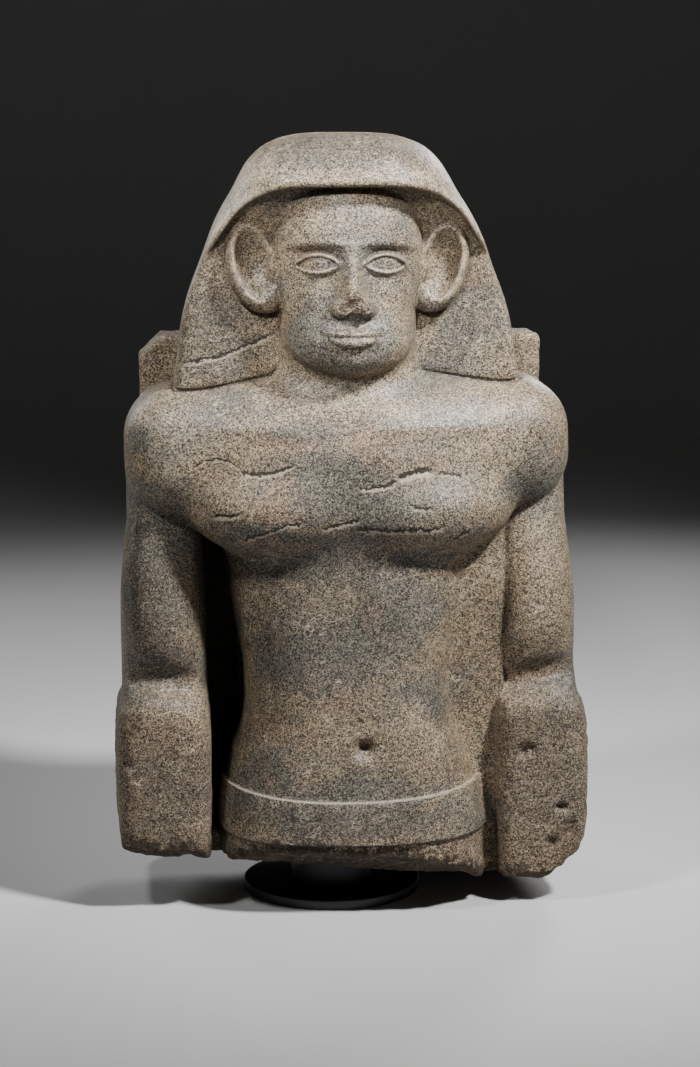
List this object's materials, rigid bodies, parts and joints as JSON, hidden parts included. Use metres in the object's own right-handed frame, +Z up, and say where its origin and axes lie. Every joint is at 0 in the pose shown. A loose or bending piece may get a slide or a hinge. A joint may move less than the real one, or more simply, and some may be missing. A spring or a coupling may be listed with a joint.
{
  "type": "ancient Egyptian half-length stone figure of a man with a back slab, on a steel stand",
  "caption": "Broken upper part of a granodiorite figure of a man in a plain bag wig, arms at the sides, with back slab, on a dark steel disc stand.",
  "frame": {"origin": "centre of the underside of the stand's round foot", "axes": "+Z up, the figure faces -Y, +X to the right as seen from the front, which is the figure's own left"},
  "size_m": [0.4374, 0.2301, 0.7054],
  "materials": {
    "stone": "satin, speckled, rough where broken",
    "stand": "satin"
  },
  "bodies": {
    "root": {"bust": "stone", "stand_post": "stand", "stand_foot": "stand"}
  },
  "joints": []
}
